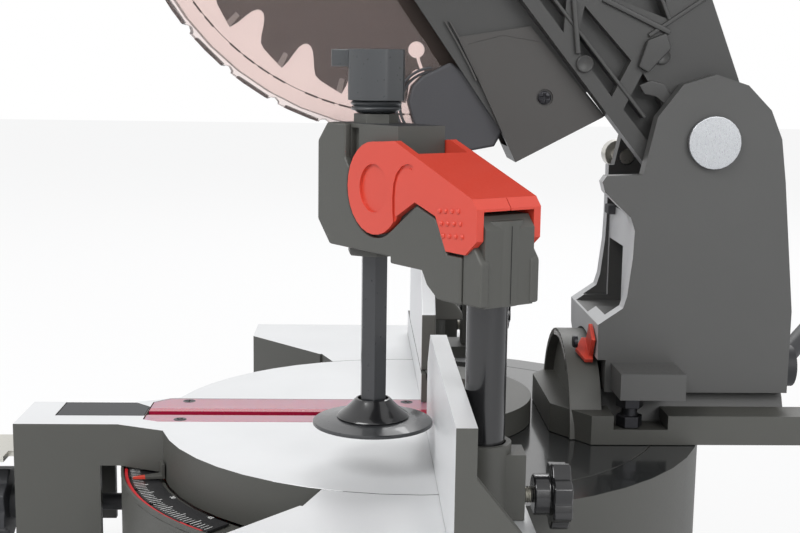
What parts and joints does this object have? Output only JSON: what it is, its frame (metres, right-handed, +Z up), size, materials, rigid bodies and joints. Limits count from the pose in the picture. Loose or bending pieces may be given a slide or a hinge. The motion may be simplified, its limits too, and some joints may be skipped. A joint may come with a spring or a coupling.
{
  "type": "mitre saw",
  "caption": "Compound mitre saw on a bench base: turntable with kerf insert, split fence with a post clamp, tilting column, and a hinged head with toothed blade, guards, motor and handles",
  "frame": {"origin": "on the bench, under the middle of the outline seen from above, which is also the axis of the turntable", "axes": "+X the operator's right, +Y the back of the saw, +Z up"},
  "size_m": [0.48, 0.4798, 0.5991],
  "materials": {
    "cast_grey": "satin painted die casting",
    "machined": "machined and sanded casting",
    "bright_steel": "ground steel",
    "black_steel": "gloss black coated steel",
    "dark_plastic": "moulded, fine texture",
    "gloss_black": "moulded, smooth",
    "rubber": "moulded",
    "red": "moulded red",
    "insert_red": "translucent red moulding",
    "guard_tint": "clear moulded polycarbonate with a pink tint",
    "copper": "wound copper"
  },
  "bodies": {
    "base": {"base_casting": "machined", "foot_front_left": "rubber", "foot_front_right": "rubber", "foot_rear_left": "rubber", "foot_rear_right": "rubber", "mitre_scale": "machined", "pivot_bolt": "bright_steel", "fence_casting": "machined"},
    "table": {"turntable": "machined", "kerf_insert_left": "insert_red", "kerf_insert_right": "insert_red", "arm_tongue": "gloss_black", "mitre_pointer": "red", "rear_trunnion": "cast_grey", "bevel_pivot_pin": "bright_steel", "bevel_stop_bolt": "bright_steel"},
    "mitre_lock": {"mitre_lock_knob": "dark_plastic"},
    "detent": {"detent_lever": "bright_steel"},
    "tall_fence": {"fence_slide": "machined"},
    "fence_knob": {"fence_slide_knob": "dark_plastic"},
    "right_knob": {"socket_knob_right": "dark_plastic"},
    "left_knob": {"socket_knob_left": "dark_plastic"},
    "clamp_arm": {"clamp_post": "black_steel", "clamp_body": "cast_grey"},
    "clamp_grip": {"clamp_lever": "red"},
    "clamp_turner": {"clamp_knob": "gloss_black"},
    "clamp_screw": {"clamp_rod": "black_steel"},
    "clamp_foot": {"clamp_pad": "black_steel"},
    "bevel_lever": {"bevel_lock_lever": "gloss_black"},
    "column": {"column_casting": "cast_grey", "bevel_pointer": "red", "chop_shaft": "bright_steel", "return_spring": "bright_steel"},
    "lock_pin": {"head_lock_pin": "bright_steel"},
    "head": {"arm_casting": "cast_grey", "drive_cover": "cast_grey", "upper_guard": "cast_grey", "dust_port": "dark_plastic", "side_panel": "gloss_black", "dust_scoop": "rubber", "motor_housing": "dark_plastic", "motor_end_cap": "dark_plastic", "brush_cap_front": "gloss_black", "brush_cap_rear": "gloss_black", "cable_gland": "rubber", "armature_bearing": "bright_steel", "field_stator": "bright_steel", "spindle_bearing": "bright_steel", "main_handle": "dark_plastic", "carry_handle": "dark_plastic", "drive_belt": "rubber"},
    "guard": {"lower_guard": "guard_tint"},
    "arbor": {"spindle": "bright_steel", "blade": "bright_steel", "outer_flange": "bright_steel", "blade_bolt": "bright_steel"},
    "motor_shaft": {"armature": "copper"},
    "trigger": {"trigger": "red"},
    "lock_off": {"lock_off_button": "red"}
  },
  "joints": [
    {"name": "mitre_turn", "type": "hinge", "parent": "base", "child": "table", "pos_m": [0, 0, 0.085], "axis": [0, 0, -1], "range_deg": [-45, 45]},
    {"name": "mitre_lock_turn", "type": "hinge", "parent": "table", "child": "mitre_lock", "pos_m": [0, -0.2, 0.036], "axis": [0, 1, 0], "range_deg": [0, 120]},
    {"name": "detent_press", "type": "hinge", "parent": "table", "child": "detent", "pos_m": [0, -0.178, 0.0655], "axis": [1, 0, 0], "range_deg": [-1.9, 3], "stiffness_Nm_per_rad": 0.6, "springref_deg": -28.65},
    {"name": "fence_slide_move", "type": "slide", "parent": "base", "child": "tall_fence", "axis": [-1, 0, 0], "range_m": [0, 0.092]},
    {"name": "fence_knob_turn", "type": "hinge", "parent": "base", "child": "fence_knob", "pos_m": [-0.15, 0.05, 0.116], "axis": [0, 1, 0], "range_deg": [0, 180]},
    {"name": "right_knob_turn", "type": "hinge", "parent": "base", "child": "right_knob", "pos_m": [0.155, 0.045, 0.094], "axis": [0, 1, 0], "range_deg": [0, 180]},
    {"name": "left_knob_turn", "type": "hinge", "parent": "base", "child": "left_knob", "pos_m": [-0.198, 0.045, 0.094], "axis": [0, 1, 0], "range_deg": [0, 180]},
    {"name": "clamp_swing", "type": "hinge", "parent": "base", "child": "clamp_arm", "pos_m": [0.155, 0.0245, 0], "axis": [0, 0, 1], "range_deg": [0, 90]},
    {"name": "clamp_lever_open", "type": "hinge", "parent": "clamp_arm", "child": "clamp_grip", "pos_m": [0.10602, -0.00804, 0.2166], "axis": [0.5534, -0.8329, 0], "range_deg": [0, 25]},
    {"name": "clamp_knob_turn", "type": "hinge", "parent": "clamp_arm", "child": "clamp_turner", "pos_m": [0.08753, -0.02032, 0.25], "axis": [0, 0, 1], "range_deg": [-2282, 4802]},
    {"name": "clamp_rod_feed", "type": "slide", "parent": "clamp_arm", "child": "clamp_screw", "axis": [0, 0, 1], "range_m": [-0.019, 0.04]},
    {"name": "clamp_pad_swivel", "type": "hinge", "parent": "clamp_screw", "child": "clamp_foot", "pos_m": [0.08753, -0.02032, 0.112], "axis": [0, 0, 1], "continuous": true},
    {"name": "bevel_tilt", "type": "hinge", "parent": "table", "child": "column", "pos_m": [0, 0.1, 0.085], "axis": [0, -1, 0], "range_deg": [0, 45]},
    {"name": "bevel_lever_turn", "type": "hinge", "parent": "table", "child": "bevel_lever", "pos_m": [0, 0.198, 0.113], "axis": [0, 1, 0], "range_deg": [0, 50]},
    {"name": "head_chop", "type": "hinge", "parent": "column", "child": "head", "pos_m": [0, 0.146, 0.234], "axis": [1, 0, 0], "range_deg": [0, 53], "stiffness_Nm_per_rad": 7, "springref_deg": -171.89},
    {"name": "lower_guard_open", "type": "hinge", "parent": "head", "child": "guard", "pos_m": [0, -0.00402, 0.37736], "axis": [1, 0, 0], "range_deg": [-115.8, 0]},
    {"name": "motor_spin", "type": "hinge", "parent": "head", "child": "motor_shaft", "pos_m": [0, 0.02398, 0.44336], "axis": [1, 0, 0], "continuous": true},
    {"name": "blade_spin", "type": "hinge", "parent": "head", "child": "arbor", "pos_m": [0, -0.00402, 0.37736], "axis": [1, 0, 0], "continuous": true},
    {"name": "head_lock_slide", "type": "slide", "parent": "column", "child": "lock_pin", "axis": [1, 0, 0], "range_m": [0, 0.012]},
    {"name": "trigger_pull", "type": "slide", "parent": "head", "child": "trigger", "axis": [0, -0.512, 0.859], "range_m": [0, 0.005], "stiffness_N_per_m": 600, "springref_m": -0.003},
    {"name": "lock_off_press", "type": "slide", "parent": "head", "child": "lock_off", "axis": [-1, 0, 0], "range_m": [0, 0.0025], "stiffness_N_per_m": 400, "springref_m": -0.002}
  ],
  "couplings": [
    {"joint": "clamp_knob_turn", "follows": "clamp_rod_feed", "rad_per_m": 2094.4},
    {"joint": "lower_guard_open", "follows": "head_chop", "ratio": -2.1818},
    {"joint": "blade_spin", "follows": "motor_spin", "ratio": 0.4}
  ]
}
